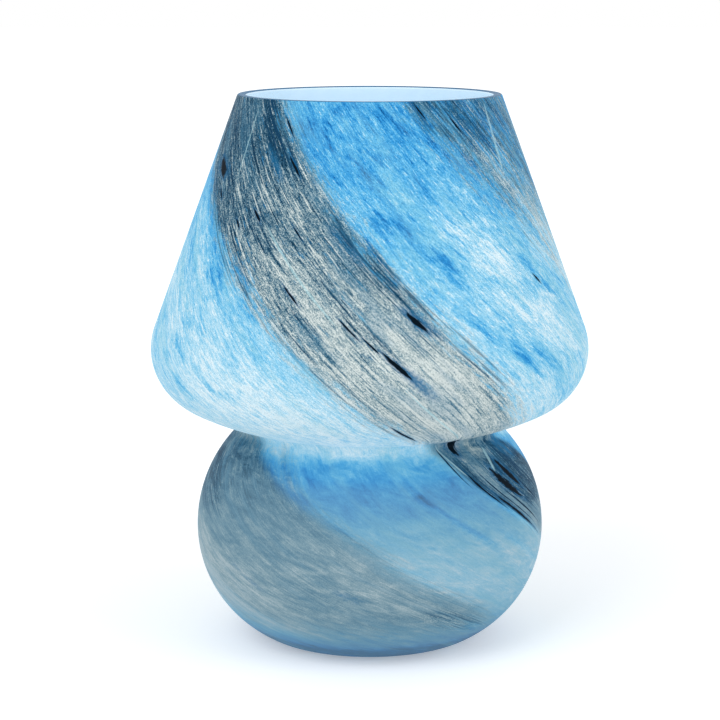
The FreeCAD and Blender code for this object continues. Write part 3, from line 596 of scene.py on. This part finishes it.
def streakParts(tree, look):
    # what the colours are made of, by name: the vectors stored on the glass, the noises drawn out
    # along the wandering streaks, the shares cut from them, and how lively each place is
    flow = addNode(tree, "Attribute", (), "Vector", attribute_name="flow")
    drawnOut = addNode(tree, "VectorMath", (flow, (1, 1, look["driftShare"])), operation="MULTIPLY")
    drift = addNode(tree, "TexNoise", {"Vector": drawnOut, "Scale": 1000 / look["driftSize"],
                                       "Detail": 1.0}, "Color")
    drift = addNode(tree, "VectorMath", (drift, (0.5, 0.5, 0.5)), operation="SUBTRACT")
    drift = addNode(tree, "VectorMath", {0: drift, "Scale": look["driftReach"]}, operation="SCALE")
    wandering = addNode(tree, "VectorMath", (flow, drift), operation="ADD")
    at = {"flow": flow}
    for name, keys in storedVectors.items():
        stored = addNode(tree, "Attribute", (), "Vector", attribute_name=name)
        at.update(zip(keys, addNode(tree, "SeparateXYZ", (stored,), None)))
    for name, (share, size, detail, roughness) in look["noises"].items():
        offset = look["offset"].get(name, (0, 0, 0))
        place = addNode(tree, "VectorMath", (wandering, (1, 1, share), offset), operation="MULTIPLY_ADD")
        at[name] = addNode(tree, "TexNoise", {
            "Vector": place, "Scale": 1000 / size, "Detail": detail, "Roughness": roughness,
            "Distortion": look["bend"].get(name, 0.0)})
    size, detail, roughness = look["grain"]
    body = addNode(tree, "TexCoord", (), "Object")
    at["grain"] = addNode(tree, "TexNoise", {"Vector": body, "Scale": 1000 / size, "Detail": detail,
                                             "Roughness": roughness})
    for name, (source, low, high) in look["cuts"].items():
        at[name] = addNode(tree, "MapRange", (at[source], low, high), interpolation_type="SMOOTHSTEP")
    at["lively"] = addNode(tree, "Math", (at["calm"], -look["calming"], 1.0), operation="MULTIPLY_ADD")
    at["settled"] = addNode(tree, "Math", (at["calm"], 0.0), operation="MAXIMUM")
    wrinkles = addNode(tree, "Math", (at["mottle"], 0.5), operation="SUBTRACT")
    at["wrinkles"] = addNode(tree, "Math", (wrinkles, at["settled"]), operation="MULTIPLY")
    flaked = addNode(tree, "Math", (at["patchy"], look["patchShare"]), operation="ADD")
    at["whitePatch"] = addNode(tree, "Math", (at["whites"], flaked), operation="MULTIPLY")
    at["bluePatch"] = addNode(tree, "Math", (at["blues"], flaked), operation="MULTIPLY")
    return at


def blueGround(tree, at, look):
    # deep, sky and pale blue by light, clouds and streaks, pushed by the white and blue patches
    level = addNode(tree, "Math", (at["whitePatch"], look["whiteLift"], at["groundLevel"]),
                    operation="MULTIPLY_ADD")
    level = addNode(tree, "Math", (at["bluePatch"], look["blueDrop"], level), operation="MULTIPLY_ADD")
    level = noiseSum(tree, at, level, at["lively"], look["groundNoise"])
    level = addNode(tree, "Math", (at["wrinkles"], look["groundWrinkles"], level),
                    operation="MULTIPLY_ADD")
    low, high = look["groundRange"]
    place = addNode(tree, "Math", (level, 1 / (high - low), -low / (high - low)),
                    operation="MULTIPLY_ADD")
    share, code = look["sea"]
    sea = addNode(tree, "Math", (at["sea"], share), operation="MULTIPLY")
    return layOver(tree, colourScale(tree, place, look["groundColours"]), [(sea, code)])


def greyBand(tree, at, look):
    # slate, taupe and cream by light, with long light and dark threads drawn out along the streaks
    level = addNode(tree, "Math", (at["creams"], look["creamLift"], at["greyLevel"]),
                    operation="MULTIPLY_ADD")
    level = addNode(tree, "Math", (at["darks"], look["darkDrop"], level), operation="MULTIPLY_ADD")
    lively = addNode(tree, "Math", (at["darks"], look["darkLively"], 1.0), operation="MULTIPLY_ADD")
    lively = addNode(tree, "Math", (at["lively"], lively), operation="MULTIPLY")
    lively = addNode(tree, "Math", (lively, look["mostLively"]), operation="MINIMUM")
    level = noiseSum(tree, at, level, lively, look["bandNoise"])
    level = addNode(tree, "Math", (at["wrinkles"], look["bandWrinkles"], level),
                    operation="MULTIPLY_ADD")
    layers = []
    for key, share in (("slate", at["slate"]), ("blueInBand", at["bluePatch"])):
        strength, code = look[key]
        layers.append((addNode(tree, "Math", (share, strength), operation="MULTIPLY"), code))
    return layOver(tree, colourScale(tree, level, look["bandColours"]), layers)


def bandMask(tree, at, look):
    # where the bands show: the bands' field with a ragged edge, part of it softened to a haze, and
    # nothing where there is no band
    edge = noiseSum(tree, at, at["greys"], at["lively"], look["edgeNoise"])
    edge = addNode(tree, "Math", (at["wrinkles"], look["edgeWrinkles"], edge), operation="MULTIPLY_ADD")
    low, high = look["bandEdge"]
    low = addNode(tree, "Math", (at["settled"], look["calmEdge"], low), operation="MULTIPLY_ADD")
    mask = addNode(tree, "MapRange", (edge, low, high), interpolation_type="SMOOTHSTEP")
    hazy = addNode(tree, "MapRange", (at["greys"], *look["bandHaze"]), interpolation_type="SMOOTHSTEP")
    hazy = addNode(tree, "Math", (hazy, mask), operation="SUBTRACT")
    mask = addNode(tree, "Math", (hazy, look["hazeShare"], mask), operation="MULTIPLY_ADD")
    near = addNode(tree, "MapRange", (at["greys"], 0.0, look["bandLimit"]),
                   interpolation_type="SMOOTHSTEP")
    return addNode(tree, "Math", (mask, near), operation="MULTIPLY")


def nearestOf(tree, at, distances, look):
    # the least of the distances, made ragged
    nearest = distances[0]
    for away in distances[1:]:
        nearest = addNode(tree, "Math", (nearest, away), operation="MINIMUM")
    return noiseSum(tree, at, nearest, 1.0, look["ragged"])


def fineMarks(tree, at, look):
    # layers over ground and bands: the base's painted shade, dark lines, black glass and pale threads
    # painted shade on the base: its colours dimmed towards a grey-blue, less in its dark and blue streaks
    clear = addNode(tree, "Math", (at["darks"], look["darkClear"], 1.0), operation="MULTIPLY_ADD")
    clear = addNode(tree, "Math", (at["blues"], look["blueClear"], clear), operation="MULTIPLY_ADD")
    paintedShade = addNode(tree, "Math", (at["dull"], clear), operation="MULTIPLY", use_clamp=True)
    strength, ink = look["ink"]
    lines = addNode(tree, "Math", (at["darks"], strength), operation="MULTIPLY")
    lines = addNode(tree, "Math", (at["inkLines"], lines), operation="MULTIPLY")
    layers = [(paintedShade, look["paintedShade"]), (lines, ink)]
    lens = nearestOf(tree, at, [inclusionDistance(tree, at["flow"], *row) for row in inclusions], look)
    line = nearestOf(tree, at, [threadDistance(tree, at["flow"], *row) for row in threads], look)
    for away, key in ((lens, "blackEdge"), (lens, "black"), (line, "pale")):
        start, full, strength, code = look[key]
        share = addNode(tree, "MapRange", (away, start, full), interpolation_type="SMOOTHSTEP")
        layers.append((addNode(tree, "Math", (share, strength), operation="MULTIPLY"), code))
    return layers


def swirledGlass(look):
    # blown cased glass, sandblasted to a fine satin: coloured streaks under a frosted face
    material, tree, shader = newMaterial("swirledFrostedGlass")
    at = streakParts(tree, look)
    ground, band = blueGround(tree, at, look), greyBand(tree, at, look)
    colour = addNode(tree, "Mix", {0: bandMask(tree, at, look), 6: ground, 7: band}, 2,
                     data_type="RGBA")
    colour = layOver(tree, colour, fineMarks(tree, at, look))

    # fine light and dark specks of the frost
    speck = addNode(tree, "Math", (at["grain"], 0.5), operation="SUBTRACT")
    specks = addNode(tree, "Math", (at["lively"], look["grainSpecks"]), operation="MULTIPLY")
    speck = addNode(tree, "Math", (speck, specks, 1.0), operation="MULTIPLY_ADD")
    colour = addNode(tree, "Mix", {0: 1.0, 6: colour, 7: speck}, 2, data_type="RGBA",
                     blend_type="MULTIPLY")
    face = addNode(tree, "Mix", {0: 1.0, 6: colour, 7: linearColour(look["surface"])}, 2,
                   data_type="RGBA", blend_type="MULTIPLY")
    tree.links.new(face, shader.inputs["Base Color"])
    tree.links.new(colour, shader.inputs["Emission Color"])
    shader.inputs["Emission Strength"].default_value = look["glow"]
    shader.inputs["Specular IOR Level"].default_value = look["specular"]
    smoothest, spread = look["grainRough"]
    rough = addNode(tree, "Math", (at["grain"], spread, smoothest), operation="MULTIPLY_ADD")
    tree.links.new(rough, shader.inputs["Roughness"])
    strength, height = look["grainBump"]
    bump = addNode(tree, "Bump", {"Height": at["grain"], "Strength": strength, "Distance": height})
    tree.links.new(bump, shader.inputs["Normal"])
    return material


# Grain and cloud of a plain finish: size in grains, detail and roughness of each noise, and the height
# of the grain's bump in grains
finishNoises = ((1, 4, 0.6), (9, 2, 0.5))
finishRelief = 0.25


def satinFinish(name, codes, roughness, grainMm, emission=0.0, metallic=0.0, bump=0.1, contrast=3.0,
                specular=0.5):
    # mottled finish: grain and cloud between two hex codes, with roughness and a fine bump from them.
    # The real grains are a few tenths of a millimetre, and most are drawn coarser so that they show
    material, tree, shader = newMaterial(name)
    place = addNode(tree, "TexCoord", (), "Object")
    grain, cloud = [
        addNode(tree, "TexNoise", {"Vector": place, "Scale": 1000 / (grainMm * size),
                                   "Detail": detail, "Roughness": rough})
        for size, detail, rough in finishNoises]
    level = addNode(tree, "Math", (grain, contrast / 2, 0.5 - contrast / 2), operation="MULTIPLY_ADD")
    level = addNode(tree, "Math", (cloud, contrast / 2, level), operation="MULTIPLY_ADD",
                    use_clamp=True)
    colour = layOver(tree, linearColour(codes[0]), [(level, codes[1])])
    tree.links.new(colour, shader.inputs["Base Color"])
    rough = addNode(tree, "Math", (level, roughness[1] - roughness[0], roughness[0]),
                    operation="MULTIPLY_ADD")
    tree.links.new(rough, shader.inputs["Roughness"])
    shader.inputs["Metallic"].default_value = metallic
    shader.inputs["Specular IOR Level"].default_value = specular
    if emission:
        tree.links.new(colour, shader.inputs["Emission Color"])
        shader.inputs["Emission Strength"].default_value = emission
    relief = addNode(tree, "Bump", {"Height": grain, "Strength": bump,
                                    "Distance": grainMm / 1000 * finishRelief})
    tree.links.new(relief, shader.inputs["Normal"])
    return material


profile, profileFinish = glassProfile(glass)
glassBody = bpy.data.objects.new("glassBody", turnedMesh("glassBody", profile, profileFinish,
                                                         glass["turnSteps"]))
bpy.context.collection.objects.link(glassBody)
glassFinishes = [
    swirledGlass(glassLook),
    # cut and polished edge: deep blue, because the light runs along inside the wall
    satinFinish("polishedGlassRim", ("#104f76", "#1d6c98"), (0.3, 0.45), 4.0, emission=0.1, bump=0.02,
                specular=0.1),
    # opal glass: milky, and evenly bright from the bulb
    satinFinish("opalGlassLining", ("#c2dae9", "#d2e4f0"), (0.35, 0.5), 6.0, emission=0.26, bump=0.02,
                contrast=1.5),
    # foot ground flat on a wheel: pale, rough, no gloss, with a faint painted glow of the bulb's light
    satinFinish("groundGlassFoot", ("#6f9fbd", "#8fb9d2"), (0.6, 0.8), 0.5, emission=0.1, bump=0.3),
]
for finish in glassFinishes:
    glassBody.data.materials.append(finish)
cutCordHole(glassBody, glass)
glassBody.data.polygons.foreach_set("use_smooth", np.ones(len(glassBody.data.polygons), bool))
glassBody.data.set_sharp_from_angle(angle=glass["sharpAngle"])
paintSwirl(glassBody.data, glass)
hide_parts("glass_body")
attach(glassBody, "root")
print("glass body:", len(glassBody.data.vertices), "vertices,", len(glassBody.data.polygons), "faces")


# Finishes of the fittings, by the material slot that they fill

fittings = {
    # moulded rubber: dull grey with a broad soft highlight
    "grey_rubber": satinFinish("mouldedGreyRubber", ("#5c666d", "#6c767d"), (0.65, 0.85), 0.6, bump=0.2),
    # moulded silicone: milky, a little glossy where it was pressed against the mould
    "clear_silicone": satinFinish("clearSilicone", ("#c9d3d8", "#dbe4e8"), (0.25, 0.4), 2.0, bump=0.05),
    # bright zinc on pressed steel: cool grey metal, slightly cloudy
    "zinc_plated_steel": satinFinish("zincPlatedSteel", ("#a9adb3", "#c6c9cc"), (0.28, 0.42), 1.5,
                                     metallic=1.0, bump=0.06),
    # moulded phenolic: black with a half gloss
    "black_thermoset": satinFinish("mouldedPhenolic", ("#18191b", "#26272a"), (0.35, 0.5), 0.8, bump=0.08),
    # unglazed steatite: warm white and matt
    "white_ceramic": satinFinish("unglazedSteatite", ("#e6e2d9", "#f0ede6"), (0.55, 0.7), 1.2, bump=0.1),
    # brass sheet, folded and drawn: yellow metal with a light haze
    "brass": satinFinish("drawnBrass", ("#b68d45", "#cfa75c"), (0.25, 0.4), 1.0, metallic=1.0),
    # phosphor bronze spring strip: redder than the brass
    "bronze": satinFinish("springBronze", ("#a4764a", "#b98a5a"), (0.25, 0.4), 1.0, metallic=1.0),
    # nickel on drawn brass: warm grey metal with a clear highlight
    "nickel_plated_brass": satinFinish("nickelPlatedBrass", ("#b9b6ae", "#cfccc4"), (0.22, 0.35), 1.0,
                                       metallic=1.0, bump=0.05),
    # a drop of tin solder: uneven, softly shining
    "solder": satinFinish("tinSolder", ("#a8aaac", "#c2c4c5"), (0.3, 0.45), 0.8, metallic=1.0, bump=0.2),
    # pressed black glass: nearly black, sharp highlight
    "black_glass": satinFinish("pressedBlackGlass", ("#0c0d10", "#15171b"), (0.1, 0.2), 2.0, bump=0.02),
    # moulded polycarbonate: clean white, satin
    "white_plastic": satinFinish("mouldedWhitePolycarbonate", ("#e4e8ea", "#f1f4f5"), (0.4, 0.55), 0.8,
                                 bump=0.06),
    # opal polycarbonate of the lit globe: smooth, with no grain to see
    "opal_diffuser": satinFinish("opalPolycarbonate", ("#dfe7ee", "#eaf1f6"), (0.35, 0.5), 1.5,
                                 emission=0.3, bump=0.02, contrast=1.2),
    # printed white solder mask on the board of the light chips
    "white_board": satinFinish("whiteSolderMask", ("#dfe3e0", "#eceeeb"), (0.3, 0.45), 0.7),
    # phosphor in silicone on the light chips: yellow, lit
    "yellow_phosphor": satinFinish("ledPhosphor", ("#e7c64a", "#f2d768"), (0.4, 0.55), 0.4, emission=0.6),
    # glass fibre and epoxy board: deep green, satin
    "green_board": satinFinish("epoxyBoard", ("#1f5a37", "#2b6d45"), (0.35, 0.5), 0.6),
    # black filled epoxy of the electronic parts: matt
    "black_parts": satinFinish("filledEpoxy", ("#1b1c1f", "#2a2b2f"), (0.4, 0.55), 0.5),
}
slots = {part["node"]: part["material_slot"] for part in frame["record"]["subparts"]}
for name, node in frame["nodes"].items():
    if slots[name] in fittings:
        node.data.materials.clear()
        node.data.materials.append(fittings[slots[name]])
print("fittings finished:", len(fittings), "finishes")


# Floor, light and camera

studio = {
    "floorColour": "#f4f6f8", "floorSize": 16.0, "floorRough": 0.9,
    "glowReach": (0.1, 0.9), "floorGlow": (0.3, 0.6), "world": 0.62,
    "aim": (0, 0, 0.12), "lampSize": 1.2,
    "keyPlace": (-0.9, -1.3, 1.3), "keyWatts": 14.0, "fillPlace": (1.3, -0.8, 0.9), "fillWatts": 7.0,
    "camera": (0, -1.0, 0.2995), "pitch": 0.175, "lens": 116.37, "sensor": 36.0, "shiftX": -0.01347,
}

floorMesh = bpy.data.meshes.new("floor")
half = studio["floorSize"] / 2
floorMesh.from_pydata([(-half, -half, 0), (half, -half, 0), (half, half, 0), (-half, half, 0)], [],
                      [(0, 1, 2, 3)])
floor = bpy.data.objects.new("floor", floorMesh)
bpy.context.collection.objects.link(floor)


def seenRays(tree):
    # 1 for what is looked at, straight, by reflection or through glass, and 0 for light that bounces
    rays = addNode(tree, "LightPath", output=None)
    seen = addNode(tree, "Math", (rays["Is Camera Ray"], rays["Is Glossy Ray"]), operation="MAXIMUM")
    return addNode(tree, "Math", (seen, rays["Is Transmission Ray"]), operation="MAXIMUM")


def paperFloor():
    # pale paper that looks white to the camera and keeps the object's shadow: what the camera sees
    # is helped to white, more so away from the object
    material, tree, shader = newMaterial("whitePaperFloor")
    shader.inputs["Base Color"].default_value = linearColour(studio["floorColour"])
    shader.inputs["Roughness"].default_value = studio["floorRough"]
    shader.inputs["Specular IOR Level"].default_value = 0.0
    shader.inputs["Emission Color"].default_value = (1, 1, 1, 1)
    place = addNode(tree, "TexCoord", (), "Object")
    away = addNode(tree, "VectorMath", (place,), "Value", operation="LENGTH")
    whiter = addNode(tree, "MapRange", (away, *studio["glowReach"], *studio["floorGlow"]))
    glow = addNode(tree, "Math", (seenRays(tree), whiter), operation="MULTIPLY")
    tree.links.new(glow, shader.inputs["Emission Strength"])
    return material


floorMesh.materials.append(paperFloor())

# the camera sees a white room, and the lamp is lit by a dimmer one
world = bpy.data.worlds.new("studio")
bpy.context.scene.world = world
world.use_nodes = True
worldTree = world.node_tree
background = worldTree.nodes["Background"]
background.inputs["Color"].default_value = (1, 1, 1, 1)
strength = addNode(worldTree, "Math", (seenRays(worldTree), 1.0 - studio["world"], studio["world"]),
                   operation="MULTIPLY_ADD")
worldTree.links.new(strength, background.inputs["Strength"])


def softLamp(name, place, aim, size, watts):
    # square area lamp that faces its aim
    lamp = bpy.data.lights.new(name, "AREA")
    lamp.energy, lamp.size = watts, size
    lampObject = bpy.data.objects.new(name, lamp)
    bpy.context.collection.objects.link(lampObject)
    lampObject.location = place
    towards = np.array(aim) - np.array(place)
    flat = math.hypot(towards[0], towards[1])
    lampObject.rotation_euler = (math.atan2(flat, -towards[2]), 0, math.atan2(-towards[0], towards[1]))


softLamp("keyLamp", studio["keyPlace"], studio["aim"], studio["lampSize"], studio["keyWatts"])
softLamp("fillLamp", studio["fillPlace"], studio["aim"], studio["lampSize"], studio["fillWatts"])

cameraData = bpy.data.cameras.new("camera")
cameraData.lens, cameraData.sensor_width = studio["lens"], studio["sensor"]
cameraData.shift_x = studio["shiftX"]
camera = bpy.data.objects.new("camera", cameraData)
bpy.context.collection.objects.link(camera)
camera.location = studio["camera"]
camera.rotation_euler = (math.pi / 2 - studio["pitch"], 0, 0)
bpy.context.scene.camera = camera
bpy.context.scene.view_settings.view_transform = "Standard"
print("floor, lamps and camera placed")
